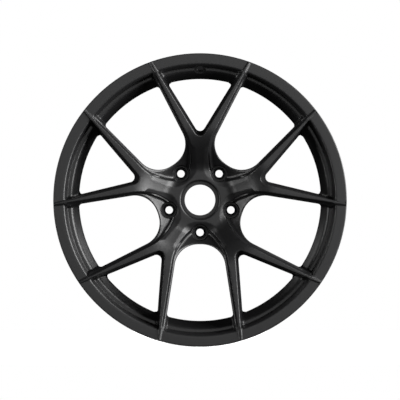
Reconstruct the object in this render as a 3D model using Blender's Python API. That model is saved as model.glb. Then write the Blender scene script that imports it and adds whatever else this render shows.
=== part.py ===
"""Forged motorsport road wheel, 20 x 9.5J, offset 35 mm, five bolts on 120 mm.

One aluminium forging carries the barrel, the hub and five Y-shaped spokes. Five steel
seats for the wheel bolts are pressed into its hub. The wheel stands upright: its axis lies
along Y, its outboard face looks towards -Y and its valve hole is at the top. The origin is
the centre of the rim. Every piece is drawn lying down, with its own Z along the wheel's
axis and towards the outboard side, and one empty stands them all up.
"""

import math

import bmesh
import bpy

MM = 0.001

# Rim: a 20-inch J contour. Radii and heights are in millimetres.
BEAD_R = 256.4  # half of the specified rim diameter, 512.8
FLANGE_R = BEAD_R + 17.5  # J flange
BETWEEN_FLANGES = 241.3  # 9.5 inches
FLANGE_WIDTH = 12.0
HALF_WIDTH = BETWEEN_FLANGES / 2 + FLANGE_WIDTH
WELL_R = 231.8  # tyre side of the drop centre
WALL = 5.2
SEAT_LENGTH = 22.0
HUMP = 2.1
LIP_INNER_R = 254.6
LIP_Z = HALF_WIDTH - 2.4  # flat face of the outboard lip, behind the spoke ridges
SEGMENTS = 60

# Hub.
OFFSET = 35.0  # mounting face, measured from the rim's centre plane
HUB_PAD_R = 76.0
HUB_BORE_R = 36.3
CAP_BORE_R = 28.6
CAP_SEAT_R = 35.2
HUB_FACE_Z = HALF_WIDTH - 45.0
CAP_SEAT_Z = HUB_FACE_Z - 9.0

# Bolts.
BOLTS = 5
BOLT_CIRCLE_R = 60.8
POCKET_R = 15.8
POCKET_Z = 68.0
SEAT_HEAD_R = 12.0
SEAT_BODY_R = 10.0
SEAT_MOUTH_R = 10.4
BOLT_HOLE_R = 7.0
SEAT_SHOULDER_Z = 59.0
SEAT_FOOT_Z = 50.0
GAP = 0.3  # clearance between touching pieces

# Spokes. A spoke's axis is at 90 degrees, and a bolt's axis is half a turn's tenth away.
STEP = 2 * math.pi / BOLTS
SLOPE_FOOT_R = 62.0  # the spokes climb from the hub's face here
SLOPE_FOOT_ROUND = 30.0
SLOPE_HEAD_R = 115.2  # and reach the level of their arms here
SLOPE_HEAD_ROUND = 76.0
ARM_TOP_Z = HALF_WIDTH
ARM_TOP_R = 250.0
SMALL_APEX = 120.5  # where the sides of the window inside a Y would meet
SMALL_APEX_ROUND = 9.6
SMALL_HALF_ANGLE = math.radians(31.6)
LARGE_END = 82.8  # inner end of the window between two Ys
LARGE_END_ROUND = 78.3
LARGE_SHOULDER_ROUND = 43.5
LARGE_SHOULDER_START = 0.119
LARGE_SIDE_ANGLE = math.radians(8.85)
WINDOW_REACH = 300.0
CUTTER_FOOT_Z = 20.0  # the windows are milled from below the spokes
CUTTER_ABOVE = 8.0  # to this far above them
DRAFT_Z = 96.0  # the spokes' sides are upright below this height and drafted above it
DRAFT = 5.8
TERRACE_DEPTH = 11.0  # terraces beside the bolts, parallel to the spokes' slope
TERRACE_CENTRE = 112.0
TERRACE_LENGTH = 57.0
TERRACE_WIDTH = 50.0
TERRACE_TOP_Z = 190.0
TERRACE_DRAFT = 4.0
TERRACE_STEPS = 24

# Valve hole.
VALVE_R = 245.0
VALVE_Z = 97.0
VALVE_HOLE_R = 5.65
VALVE_SPOT_R = 11.0
VALVE_TILT = math.radians(15)


def clear_scene():
    for obj in list(bpy.data.objects):
        bpy.data.objects.remove(obj, do_unlink=True)


def material(name, colour, metallic, roughness):
    made = bpy.data.materials.new(name)
    made.use_nodes = True
    shader = made.node_tree.nodes["Principled BSDF"]
    shader.inputs["Base Color"].default_value = (*colour, 1)
    shader.inputs["Metallic"].default_value = metallic
    shader.inputs["Roughness"].default_value = roughness
    made.diffuse_color = (*colour, 1)
    return made


def arc(centre, radius, start, end, steps):
    """Points of an arc, with its two ends."""
    turns = [start + (end - start) * i / steps for i in range(steps + 1)]
    return [(centre[0] + radius * math.cos(t), centre[1] + radius * math.sin(t)) for t in turns]


def rounded(corners, steps):
    """A closed outline through corners (x, y, radius), each replaced by an arc."""
    outline = []
    for i, (x, y, radius) in enumerate(corners):
        if not radius:
            outline.append((x, y))
            continue
        before = corners[i - 1]
        after = corners[(i + 1) % len(corners)]
        to_before = math.atan2(before[1] - y, before[0] - x)
        to_after = math.atan2(after[1] - y, after[0] - x)
        between = (to_after - to_before + math.pi) % (2 * math.pi) - math.pi
        reach = radius / math.sin(abs(between) / 2)
        middle = to_before + between / 2
        centre = (x + reach * math.cos(middle), y + reach * math.sin(middle))
        turn = math.pi - abs(between)
        first = middle + math.pi + math.copysign(turn / 2, between)
        last = middle + math.pi - math.copysign(turn / 2, between)
        outline += arc(centre, radius, first, last, steps)
    return outline


def grown(outline, amount):
    """The outline, drawn anticlockwise, moved outwards by the amount."""
    moved = []
    for i, (x, y) in enumerate(outline):
        before = outline[i - 1]
        after = outline[(i + 1) % len(outline)]
        into = math.atan2(y - before[1], x - before[0])
        out_of = math.atan2(after[1] - y, after[0] - x)
        bend = (out_of - into + math.pi) % (2 * math.pi) - math.pi
        heading = into + bend / 2 - math.pi / 2
        step = amount / math.cos(bend / 2)
        moved.append((x + step * math.cos(heading), y + step * math.sin(heading)))
    return moved


def new_object(name, mesh, parent):
    obj = bpy.data.objects.new(name, mesh)
    bpy.context.collection.objects.link(obj)
    obj.parent = parent
    return obj


def turned(name, outline, parent, steps, ring=True):
    """A lathe-turned body. The outline runs down the outer side, and back up inside a ring."""
    mesh = bpy.data.meshes.new(name)
    points = [(r * MM, 0, z * MM) for r, z in outline]
    edges = [(i, i + 1) for i in range(len(points) - 1)]
    if ring:
        edges.append((len(points) - 1, 0))
    mesh.from_pydata(points, edges, [])
    obj = new_object(name, mesh, parent)
    screw = obj.modifiers.new("turn", "SCREW")
    screw.steps = steps
    screw.render_steps = steps
    screw.use_merge_vertices = True
    screw.merge_threshold = 0.00001
    return obj


def at_height(outline, height):
    return [(x, y, height) for x, y in outline]


def prism(name, levels, parent, copies, turn):
    """Copies about the axis of one closed body through its levels, each a loop of points."""
    body = bmesh.new()
    for copy in range(copies):
        cos, sin = math.cos(turn + copy * STEP), math.sin(turn + copy * STEP)
        loops = []
        for level in levels:
            places = [(x * cos - y * sin, x * sin + y * cos, z) for x, y, z in level]
            loops.append([body.verts.new((x * MM, y * MM, z * MM)) for x, y, z in places])
        for low, high in zip(loops, loops[1:]):
            for i in range(len(low)):
                j = (i + 1) % len(low)
                body.faces.new((low[i], low[j], high[j], high[i]))
        body.faces.new(reversed(loops[0]))
        body.faces.new(loops[-1])
    mesh = bpy.data.meshes.new(name)
    body.to_mesh(mesh)
    body.free()
    return new_object(name, mesh, parent)


def hide(cutter):
    cutter.hide_render = True
    cutter.display_type = "WIRE"
    return cutter


def combine(obj, name, other, operation):
    boolean = obj.modifiers.new(name, "BOOLEAN")
    boolean.operation = operation
    boolean.solver = "EXACT"
    boolean.object = hide(other)


def barrel_outline():
    """The rim's section, from the lip's face down the tyre side and back up inside."""
    flange_z = BETWEEN_FLANGES / 2
    seat_end = flange_z - SEAT_LENGTH
    seat_drop = (SEAT_LENGTH - 6.5) * math.tan(math.radians(5))
    toe_r = BEAD_R - seat_drop
    hump_r = toe_r + HUMP
    inner_well = WELL_R - WALL

    def bead(side):
        """Flange, heel, seat and hump of one side, from the flange's rim inwards."""
        return [
            (FLANGE_R, side * (flange_z + 7.0)),
            (FLANGE_R - 1.6, side * (flange_z + 2.0)),
            (FLANGE_R - 6.0, side * flange_z),
            (BEAD_R + 6.5, side * flange_z),
            (BEAD_R + 1.9, side * (flange_z - 1.9)),
            (BEAD_R, side * (flange_z - 6.5)),
            (toe_r, side * seat_end),
            (hump_r, side * (seat_end - 3.0)),
            (hump_r, side * (seat_end - 6.0)),
        ]

    lip = [
        (LIP_INNER_R, LIP_Z),
        (FLANGE_R - 1.5, LIP_Z),
        (FLANGE_R, LIP_Z - 1.5),
    ]
    well = [
        (WELL_R + 3.0, 73.0),
        (WELL_R, 68.0),
        (WELL_R, 20.0),
        (WELL_R + 4.0, 12.0),
        (246.0, -8.0),
    ]
    rear_edge = [
        (FLANGE_R - 0.9, -HALF_WIDTH + 1.6),
        (FLANGE_R - 3.9, -HALF_WIDTH),
        (FLANGE_R - 8.0, -HALF_WIDTH + 1.4),
    ]
    inside = [
        (261.0, -126.0),
        (251.8, -117.0),
        (250.3, -98.0),
        (241.3, -9.0),
        (inner_well + 2.0, 17.0),
        (inner_well, 66.0),
        (inner_well + 1.6, 72.0),
        (243.0, 91.5),
        (247.6, 99.5),
        (248.9, 107.0),
        (249.6, 120.0),
        (250.8, LIP_Z - 4.0),
        (252.2, LIP_Z - 1.2),
    ]
    return lip + bead(1) + well + bead(-1)[::-1] + rear_edge + inside


def centre_outline():
    """Section of the hub and spokes before the windows are milled out of them."""
    front = [
        (SLOPE_FOOT_R, HUB_FACE_Z, SLOPE_FOOT_ROUND),
        (SLOPE_HEAD_R, ARM_TOP_Z, SLOPE_HEAD_ROUND),
        (ARM_TOP_R, ARM_TOP_Z, 0),
        (FLANGE_R - 1.4, LIP_Z + 0.7, 0),
    ]
    inside_wall = [
        (FLANGE_R - 1.4, 126.0, 0),
        (252.5, 124.0, 0),
        (251.8, 100.0, 0),
        (246.0, 89.0, 0),
        (231.9, 73.0, 0),
        (229.6, 66.0, 0),
        (229.6, 60.0, 0),
    ]
    back = [
        (226.0, 60.5, 0),
        (215.0, 86.0, 0),
        (202.0, 101.0, 0),
        (150.0, 101.5, 0),
        (122.0, 96.0, 0),
        (104.0, 82.0, 0),
        (88.0, 63.0, 0),
        (HUB_PAD_R, OFFSET, 0),
        (HUB_BORE_R + 1.5, OFFSET, 0),
        (HUB_BORE_R, OFFSET + 1.5, 0),
        (HUB_BORE_R, 61.0, 0),
        (CAP_BORE_R, 63.0, 0),
        (CAP_BORE_R, CAP_SEAT_Z, 0),
        (CAP_SEAT_R, CAP_SEAT_Z, 0),
        (CAP_SEAT_R, HUB_FACE_Z - 2.2, 0),
        (CAP_SEAT_R + 2.2, HUB_FACE_Z, 0),
    ]
    return rounded(front + inside_wall + back, 3)


def small_window():
    """The window between a Y's two arms, pointing along X."""
    width = (WINDOW_REACH - SMALL_APEX) * math.tan(SMALL_HALF_ANGLE)
    corners = [
        (SMALL_APEX, 0, SMALL_APEX_ROUND),
        (WINDOW_REACH, -width, 0),
        (WINDOW_REACH, width, 0),
    ]
    return rounded(corners, 6)


def large_window():
    """The window between two Ys, along X: an end in three arcs and two straight sides."""
    start = math.pi - LARGE_SHOULDER_START
    offset = LARGE_END_ROUND - LARGE_SHOULDER_ROUND
    centre = (
        LARGE_END + LARGE_END_ROUND + offset * math.cos(start),
        offset * math.sin(start),
    )
    finish = math.pi / 2 + LARGE_SIDE_ANGLE
    shoulder = arc(centre, LARGE_SHOULDER_ROUND, start, finish, 8)
    end_x, end_y = shoulder[-1]
    far_y = end_y + (WINDOW_REACH - end_x) * math.tan(LARGE_SIDE_ANGLE)
    half = shoulder + [(WINDOW_REACH, far_y)]
    return [(LARGE_END, 0)] + [(x, -y) for x, y in half] + half[::-1]


def milled(name, outline, parent, turn):
    levels = [
        at_height(outline, CUTTER_FOOT_Z),
        at_height(outline, DRAFT_Z),
        at_height(grown(outline, DRAFT), ARM_TOP_Z),
        at_height(grown(outline, DRAFT), ARM_TOP_Z + CUTTER_ABOVE),
    ]
    return prism(name, levels, parent, BOLTS, turn)


def terrace_floor(outline):
    """The outline laid on a plane parallel to the spokes' slope."""
    climb = (ARM_TOP_Z - HUB_FACE_Z) / (SLOPE_HEAD_R - SLOPE_FOOT_R)
    low = HUB_FACE_Z - TERRACE_DEPTH
    return [(x, y, low + (x - SLOPE_FOOT_R) * climb) for x, y in outline]


def make_forging(axis, spoke_turn, bolt_turn):
    forging = turned("forged_wheel", barrel_outline(), axis, SEGMENTS)
    centre = turned("centre_blank", centre_outline(), axis, SEGMENTS)
    small = milled("small_windows", small_window(), axis, spoke_turn)
    combine(centre, "small windows", small, "DIFFERENCE")
    large = milled("large_windows", large_window(), axis, bolt_turn)
    combine(centre, "large windows", large, "DIFFERENCE")

    ring = [
        (TERRACE_CENTRE + TERRACE_LENGTH * math.cos(t), TERRACE_WIDTH * math.sin(t))
        for t in (2 * math.pi * i / TERRACE_STEPS for i in range(TERRACE_STEPS))
    ]
    terrace_levels = [terrace_floor(ring), at_height(grown(ring, TERRACE_DRAFT), TERRACE_TOP_Z)]
    terraces = prism("terraces", terrace_levels, axis, BOLTS, bolt_turn)
    combine(centre, "terraces", terraces, "DIFFERENCE")
    combine(forging, "centre", centre, "UNION")

    for number in range(BOLTS):
        pocket_outline = [
            (0, HALF_WIDTH),
            (POCKET_R, HALF_WIDTH),
            (POCKET_R, POCKET_Z),
            (SEAT_HEAD_R + GAP, POCKET_Z),
            (SEAT_HEAD_R + GAP, SEAT_SHOULDER_Z - GAP),
            (SEAT_BODY_R + GAP, SEAT_SHOULDER_Z - GAP),
            (SEAT_BODY_R + GAP, SEAT_FOOT_Z - GAP),
            (BOLT_HOLE_R + 0.6, SEAT_FOOT_Z - GAP),
            (BOLT_HOLE_R + 0.6, OFFSET - 10),
            (0, OFFSET - 10),
        ]
        pocket = turned(f"bolt_pocket_{number + 1}", pocket_outline, axis, 24, ring=False)
        place_on_bolt_circle(pocket, bolt_turn + number * STEP)
        combine(forging, f"bolt pocket {number + 1}", pocket, "DIFFERENCE")

    valve_outline = [
        (0, 45.0),
        (VALVE_SPOT_R, 45.0),
        (VALVE_SPOT_R, -2.0),
        (VALVE_HOLE_R, -2.0),
        (VALVE_HOLE_R, -40.0),
        (0, -40.0),
    ]
    valve = turned("valve_drill", valve_outline, axis, 24, ring=False)
    valve.location = (0, VALVE_R * MM, VALVE_Z * MM)
    valve.rotation_euler = (VALVE_TILT, 0, 0)
    combine(forging, "valve hole", valve, "DIFFERENCE")
    return forging


def place_on_bolt_circle(obj, turn):
    obj.location = (BOLT_CIRCLE_R * MM * math.cos(turn), BOLT_CIRCLE_R * MM * math.sin(turn), 0)


def make_bolt_seats(axis, bolt_turn, finish):
    """Pressed-in steel seats with a 60 degree cone, each resting on the shoulder of its bore."""
    cone_depth = (SEAT_MOUTH_R - BOLT_HOLE_R) / math.tan(math.radians(30))
    top = POCKET_Z - 0.5
    outline = [
        (SEAT_MOUTH_R, top),
        (SEAT_HEAD_R, top),
        (SEAT_HEAD_R, SEAT_SHOULDER_Z),
        (SEAT_BODY_R, SEAT_SHOULDER_Z),
        (SEAT_BODY_R, SEAT_FOOT_Z),
        (BOLT_HOLE_R, SEAT_FOOT_Z),
        (BOLT_HOLE_R, top - cone_depth),
    ]
    for number in range(BOLTS):
        seat = turned(f"lug_seat_{number + 1}", outline, axis, 24)
        place_on_bolt_circle(seat, bolt_turn + number * STEP)
        seat.data.materials.append(finish)


def main():
    clear_scene()
    satin_black = material("satin_black", (0.028, 0.028, 0.030), 0.0, 0.42)
    dark_steel = material("dark_steel", (0.10, 0.10, 0.105), 0.9, 0.45)
    axis = bpy.data.objects.new("wheel_axis", None)
    bpy.context.collection.objects.link(axis)
    axis.rotation_euler = (math.pi / 2, 0, 0)
    spoke_turn = math.pi / 2
    bolt_turn = -math.pi / 2
    forging = make_forging(axis, spoke_turn, bolt_turn)
    forging.data.materials.append(satin_black)
    make_bolt_seats(axis, bolt_turn, dark_steel)


main()
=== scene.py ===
"""Looks of the forged racing wheel: one smooth forging with its pressed-in bolt seats.

The forging is generated from one tenth of the wheel, from a spoke's axis to a bolt's axis.
Its front and its back are height fields over the plan of that sector, triangulated with
lines along every edge, fillet and groove. Turned strips close the rim, bore and pockets.
Sizes are in millimetres, in a plan with X along a spoke, Y towards the next bolt and Z
along the wheel's axis, outboard.
"""

import itertools
import math

import bmesh
import bpy
import numpy as np
from mathutils import Matrix, Vector
from mathutils.geometry import delaunay_2d_cdt


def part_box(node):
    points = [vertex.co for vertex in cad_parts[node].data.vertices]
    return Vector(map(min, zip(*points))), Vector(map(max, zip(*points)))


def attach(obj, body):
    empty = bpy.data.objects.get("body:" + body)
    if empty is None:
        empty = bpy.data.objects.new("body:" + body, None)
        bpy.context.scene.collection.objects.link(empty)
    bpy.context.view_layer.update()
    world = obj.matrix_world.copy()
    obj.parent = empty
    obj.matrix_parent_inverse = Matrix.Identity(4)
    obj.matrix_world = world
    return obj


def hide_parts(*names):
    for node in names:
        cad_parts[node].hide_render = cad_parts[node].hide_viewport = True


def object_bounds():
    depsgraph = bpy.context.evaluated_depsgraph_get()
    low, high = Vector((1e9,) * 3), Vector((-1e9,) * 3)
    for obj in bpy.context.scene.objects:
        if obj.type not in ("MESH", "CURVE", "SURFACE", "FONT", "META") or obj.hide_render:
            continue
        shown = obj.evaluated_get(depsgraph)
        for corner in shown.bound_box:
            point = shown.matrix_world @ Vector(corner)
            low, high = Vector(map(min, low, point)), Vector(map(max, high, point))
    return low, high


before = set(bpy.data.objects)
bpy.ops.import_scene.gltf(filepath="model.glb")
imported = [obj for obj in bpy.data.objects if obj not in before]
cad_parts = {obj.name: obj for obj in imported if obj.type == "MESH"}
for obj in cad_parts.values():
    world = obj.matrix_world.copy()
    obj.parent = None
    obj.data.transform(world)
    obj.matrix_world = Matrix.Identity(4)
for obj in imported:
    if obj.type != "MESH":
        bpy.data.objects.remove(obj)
cad_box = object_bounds()

MM = 0.001
SPOKES = 5
HALF_STEP = math.pi / SPOKES  # from a spoke's axis to the next bolt's axis
SPOKE_TURN = math.pi / 2  # the first spoke points up, to the valve

# Rim, with the CAD's outer radius and width.
OUTER_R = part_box("forged_wheel")[1].x / MM
HALF_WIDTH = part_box("forged_wheel")[1].y / MM
FLANGE_Z = 120.65
HUMP_R = 257.1
WELL_R = 231.8
WINDOW_R = 226.6
ROOT_R = WINDOW_R - 0.001  # every radius from here on is on the rim
BACK_EDGE_Z = 60.0
LIP_Z = HALF_WIDTH - 3.2
LIP_FACE_END_R = OUTER_R - 1.5
# Front of the rim: edge of the windows, sloping band, shelf, groove and rounded lip.
FRONT_RIM = [
    (WINDOW_R, 66.0), (227.4, 69.5), (229.5, 75.5), (232.0, 82.0), (234.2, 87.6), (236.0, 91.4),
    (237.6, 94.1), (239.2, 96.0), (240.8, 97.2), (242.4, 97.8), (244.6, 98.0), (246.8, 98.1),
    (247.8, 98.6), (248.4, 100.4), (248.9, 104.0), (250.3, 115.0), (251.4, 123.5), (252.1, 126.3),
    (253.1, LIP_Z - 1.2), (254.5, LIP_Z - 0.3), (256.3, LIP_Z), (OUTER_R, LIP_Z),
]

# Hub, the slope up to the arms, and the arms out to the lip's edge.
HUB_Z = HALF_WIDTH - 45.0
HUB_INNER_R = 40.0
PAD_Z = 35.0
PAD_INNER_R = 37.8
SLOPE_FOOT_R = 62.0
SLOPE_FOOT_ROUND = 30.0
SLOPE_HEAD_R = 115.2
SLOPE_HEAD_ROUND = 76.0
ARM_END_R = 250.0
ARM_END_DROP = 1.2

# Bolt pockets.
BOLT_CIRCLE_R = 60.8
BOLT = BOLT_CIRCLE_R * np.array((math.cos(HALF_STEP), math.sin(HALF_STEP)))
POCKET_R = 15.5
POCKET_EDGE = 1.0
BOLT_EXIT_R = 8.4

# Notch, the window between a spoke's two arms: a wedge with a round tip.
NOTCH_ANGLE = math.radians(31.6)
NOTCH_APEX = 120.5
NOTCH_ROUND = 9.6
NOTCH_TOP_APEX = 110.3
NOTCH_TOP_ROUND = 10.8
NOTCH_CORNER = 5.0
NOTCH_FILLET = 7.0
WALL_FOOT = 2.5  # height of the foot of its walls above the spoke's back
EDGE_R = 1.8  # of the edges of all the spokes' tops

# Bay, the window between two spokes, seen along its own axis.
BAY_END = 82.8
BAY_END_R = 78.3
BAY_SHOULDER_R = 43.5
BAY_SHOULDER_START = 0.119
BAY_SIDE_ANGLE = math.radians(8.85)
SIDE_ANGLE = HALF_STEP - BAY_SIDE_ANGLE  # the same side, seen from the spoke's axis
BAY_CORNER = 6.0
BAY_EDGE_R = 2.6
BAY_FILLET = 3.5
BAY_WALL_SLOPE = 12.0

# Step from the top of the spokes down to the ledge and the terrace beside each bolt.
STEP_DEPTH_R = (232.0, 240.0, 247.0, 253.0)
STEP_DEPTHS = (10.5, 9.0, 5.0, HALF_WIDTH - LIP_Z)
STEP_HALF = 1.2  # half of the width of its wall in the plan
STEP_FROM_BAY = 4.7
STEP_LOW_POINT = np.array((83.0, 16.8))
STEP_INNER_R = 100.0
LEDGE_TILT = 0.3
LEDGE_WIDTH = 4.0
COVE_START = 3.0  # the cove grows with the ledge's width past this, between its limits
COVE_GROWTH = 0.6
COVE_MOST = 6.5
COVE_LEAST = STEP_FROM_BAY - STEP_HALF - BAY_EDGE_R

# Sloped facets from the spokes' tops down to the step, ending in a mitre.
FACET_CENTRE_R = 96.7
FACET_R = 56.0
FACET_LINE_POINT = (62.9, 6.8)
FACET_LINE_ANGLE = math.radians(4.0)
FACET_SLOPE = 0.36
FACET_BLEND = 1.2
FACET_EDGE = 0.3  # softness of the facets' upper edge
MITRE_POINT = (102.1, 14.3)
MITRE_ANGLE = math.radians(51.6)
MITRE_SLOPE = 0.62
MITRE_BLEND = 0.3

# Arm over the rim, where its edges become sharper.
ARM_ANGLE = math.radians(29.4)
ARM_POINT = np.array((150.0, 18.1))
RIDGE_OFFSET = 13.4
RIDGE_EDGE_R = 0.5
RIDGE_START_R = 246.0
RIDGE_FULL_R = 252.0

# Back.
BACK_EDGE_R = 2.0
BACK_EDGE_FADE = 12.0

# Valve hole with its spot face.
VALVE_R = 245.0
VALVE_Z = 97.0
VALVE_HOLE_R = 5.65
VALVE_SPOT_R = 11.0
VALVE_TILT = math.radians(15)

# Mesh: steps round a tenth of a circle about the wheel's axis, and round a pocket.
RIM_STEPS = 52
HUB_STEPS = 24
TURNED_STEPS = 24
PAD_STEPS = 10

# Mesh: steps of the arcs along the windows and the step.
TIP_STEPS = 8
END_STEPS = 4
SHOULDER_STEPS = 24
INNER_STEPS = 15
OUTER_STEPS = 22
CORNER_STEP = 1.2

# Mesh: spacing of the free points and of the close ones.
FRONT_SPACING = 7.0
BACK_SPACING = 9.0
SPACING_GAP = 0.55  # least distance of a free point from the others, as a share of the spacing
DETAIL_STEP = 1.3
DETAIL_GAP = 0.45

# Lines that the mesh follows, as shares of an edge's radius.
NOTCH_WALL_LINES = (0.35, 0.7)
EDGE_LINES = (0.12, 0.4, 1.0)
BAY_EDGE_LINES = (0.06, 0.25, 0.6, 1.0)

# Lines as distances from an edge.
COVE_LINES = (2.0, 3.6, 5.2, 7.0)
POCKET_LINES = (0.1, 0.35, POCKET_EDGE, 2.0)
FACET_LINES = (-1.5, 0.0, 1.5, 3.5)
MITRE_LINES = (-0.5, 0.0, 0.5, 2.6, 3.4)
NOTCH_FILLET_LINES = (-1.5, -0.6, 0.0, 1.0, 2.2, 3.6, 5.2)
BAY_FILLET_LINES = (0.0, 1.4, 1.8, 2.6, 3.6, 5.0)
RIDGE_LINES = (0.4, 0.9, 1.5, 2.2)
BACK_EDGE_LINES = (0.12, 0.45, 1.0, BACK_EDGE_R)
EXIT_LINE = 1.5

# Circles that the mesh follows.
LIP_CIRCLES = (260.0, 264.0, 268.0)
HUB_CIRCLES = (HUB_INNER_R + 6, 80.0, 87.0)
BACK_CIRCLES = (100.0, 130.0, 165.0, 180.0)

# How far the lines run along a straight side, and where they start and end on it.
NOTCH_WALL_REACH = 122.0
NOTCH_EDGE_REACH = 200.0
BAY_EDGE_REACH = 130.0
STEP_REACH = 160.0
STEP_EDGE_REACH = 140.0
BACK_NOTCH_REACH = 110.0
BACK_BAY_REACH = 95.0
FACET_SPAN = (-5.0, 40.0)
MITRE_SPAN = (-7.0, 8.0)
NOTCH_FILLET_SPAN = (110.0, 150.0)
BAY_FILLET_SPAN = (80.0, 130.0)
RIDGE_SPAN = (120.0, 190.0)

# Where the step's inner arc starts, and where the facets' arc ends.
STEP_START_TURN = math.radians(-112)
FACET_END_TURN = math.radians(-108)

# Regions with close points: the arm over the rim, and the step near the hub.
ARM_DETAIL_SPAN = (98.0, 134.0)
ARM_DETAIL_HALF = 10.0
ARM_DETAIL_R = 246.5
STEP_DETAIL_X = (66.0, 136.0)
STEP_DETAIL_Y = (14.0, 34.0)
STEP_DETAIL_BELOW = 9.0
STEP_DETAIL_ABOVE = 5.0
DETAIL_OFF_BAY = 0.6
DETAIL_OFF_EDGE = 0.5

# Tolerances, each a distance within which a point counts as being on something.
MERGE_GAP = 0.02
SIDE_GAP = 0.01
CURVE_GAP = 0.09
CIRCLE_GAP = 0.05
POCKET_GAP = 0.08
ROOT_GAP = 0.03
HEAD_GAP = 0.02
INSIDE_ONLY = 1  # the triangulation's output type that leaves out what is outside its outline


# ---- plan curves


def direction(angle):
    return np.array((math.cos(angle), math.sin(angle)))


def left_of(angle):
    return np.array((-math.sin(angle), math.cos(angle)))


def arc(centre, radius, start, end, step=2.5, count=None):
    """Points of an arc, with its two ends."""
    count = count or max(2, math.ceil(abs(end - start) * radius / step))
    turns = np.linspace(start, end, count + 1)
    return np.column_stack((centre[0] + radius * np.cos(turns), centre[1] + radius * np.sin(turns)))


def segment(start, end, step=3.0):
    start, end = np.asarray(start, float), np.asarray(end, float)
    count = max(1, math.ceil(np.linalg.norm(end - start) / step))
    return start + (end - start) * np.linspace(0, 1, count + 1)[:, None]


def ring(radius, count=RIM_STEPS):
    """One tenth of a circle, with the same angles on every circle of one count."""
    turns = np.linspace(0, HALF_STEP, count + 1)
    return radius * np.column_stack((np.cos(turns), np.sin(turns)))


def notch_corner():
    """Centre of the fillet between the notch's side and the rim."""
    return corner_with_circle((NOTCH_APEX, 0.0), NOTCH_ANGLE, -1, NOTCH_CORNER, WINDOW_R)


def corner_with_circle(point, angle, side, fillet, radius):
    """Centre of the fillet inside a circle about the origin that touches a line.

    The line runs through the point at the angle. Side is +1 for a fillet on its left.
    """
    through = np.asarray(point) + side * fillet * left_of(angle)
    along = direction(angle)
    ahead = -through @ along
    reach = math.sqrt(ahead**2 - through @ through + (radius - fillet) ** 2)
    return through + (ahead + reach) * along


def notch_curve(apex, rounding, reach):
    """The rounded wedge's upper half, from its tip along X to the reach along its side."""
    centre = (apex + rounding / math.sin(NOTCH_ANGLE), 0.0)
    tip = arc(centre, rounding, math.pi, math.pi / 2 + NOTCH_ANGLE, count=TIP_STEPS)
    side = segment(tip[-1], tip[-1] + reach * direction(NOTCH_ANGLE))
    return np.vstack((tip, side[1:]))


def notch_outline():
    """Window edge from the tip to the spoke's axis at the rim."""
    tip = notch_curve(NOTCH_APEX, NOTCH_ROUND, 1.0)[:-1]
    centre = notch_corner()
    touch = centre + NOTCH_CORNER * left_of(NOTCH_ANGLE)
    heading = math.atan2(centre[1], centre[0])
    corner = arc(centre, NOTCH_CORNER, NOTCH_ANGLE + math.pi / 2, heading, CORNER_STEP)
    rim = arc((0, 0), WINDOW_R, heading, 0.0)
    return np.vstack((tip[:-1], segment(tip[-1], touch)[:-1], corner[:-1], rim))


def across_sector(x, y):
    """Mirror image about the sector's middle line.

    It takes a point of the plan into the bay's own axes, which have X along the bolt's axis
    and Y towards the spoke's, and a point in those axes back into the plan.
    """
    cos, sin = math.cos(HALF_STEP), math.sin(HALF_STEP)
    return x * cos + y * sin, x * sin - y * cos


def bay_shoulder():
    """Centre of the shoulder's arc, in the bay's own axes."""
    offset = BAY_END_R - BAY_SHOULDER_R
    turn = math.pi - BAY_SHOULDER_START
    return BAY_END + BAY_END_R + offset * math.cos(turn), offset * math.sin(turn)


def bay_curve(inset, reach):
    """The bay's edge, moved into the metal by the inset, from the bolt's axis outwards."""
    joint = math.pi - BAY_SHOULDER_START
    finish = math.pi / 2 + BAY_SIDE_ANGLE
    end = arc((BAY_END + BAY_END_R, 0), BAY_END_R + inset, math.pi, joint, count=END_STEPS)
    shoulder = arc(bay_shoulder(), BAY_SHOULDER_R + inset, joint, finish, count=SHOULDER_STEPS)
    side = segment(shoulder[-1], shoulder[-1] + reach * direction(BAY_SIDE_ANGLE))
    whole = np.vstack((end, shoulder[1:], side[1:]))
    return np.column_stack(across_sector(whole[:, 0], whole[:, 1]))


def bay_side_point(inset=0.0):
    """Where the bay's straight side begins, moved into the metal by the inset."""
    return bay_curve(inset, 1.0)[-2]


def bay_corner():
    """Centre of the fillet between the bay's side and the rim."""
    return corner_with_circle(bay_side_point(), SIDE_ANGLE, 1, BAY_CORNER, WINDOW_R)


def bay_outline():
    """Window edge from the bolt's axis at the rim back to the bolt's axis near the hub."""
    inner = bay_curve(0.0, 1.0)[:-1]
    centre = bay_corner()
    touch = centre - BAY_CORNER * left_of(SIDE_ANGLE)
    heading = math.atan2(centre[1], centre[0])
    corner = arc(centre, BAY_CORNER, SIDE_ANGLE - math.pi / 2, heading, CORNER_STEP)
    rim = arc((0, 0), WINDOW_R, heading, HALF_STEP)
    outward = np.vstack((inner[:-1], segment(inner[-1], touch)[:-1], corner[:-1], rim))
    return outward[::-1]


def step_arc():
    """Centre and radius of the arc between the step's straight part and its low point."""
    normal = left_of(SIDE_ANGLE)
    away = (STEP_LOW_POINT - bay_side_point(STEP_FROM_BAY)) @ normal
    radius = away / (1 - normal[1])
    return STEP_LOW_POINT + (0, radius), radius


def step_curve(inset, reach):
    """The step's line moved towards the spoke's axis by the inset, from the pocket outwards."""
    inner_centre = STEP_LOW_POINT + (0, STEP_INNER_R)
    inner = arc(inner_centre, STEP_INNER_R + inset, STEP_START_TURN, -math.pi / 2, count=INNER_STEPS)
    centre, radius = step_arc()
    side_turn = SIDE_ANGLE - math.pi / 2
    outer = arc(centre, radius + inset, -math.pi / 2, side_turn, count=OUTER_STEPS)
    side = segment(outer[-1], outer[-1] + reach * direction(SIDE_ANGLE))
    return np.vstack((inner, outer[1:], side[1:]))


# ---- distances


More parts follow.
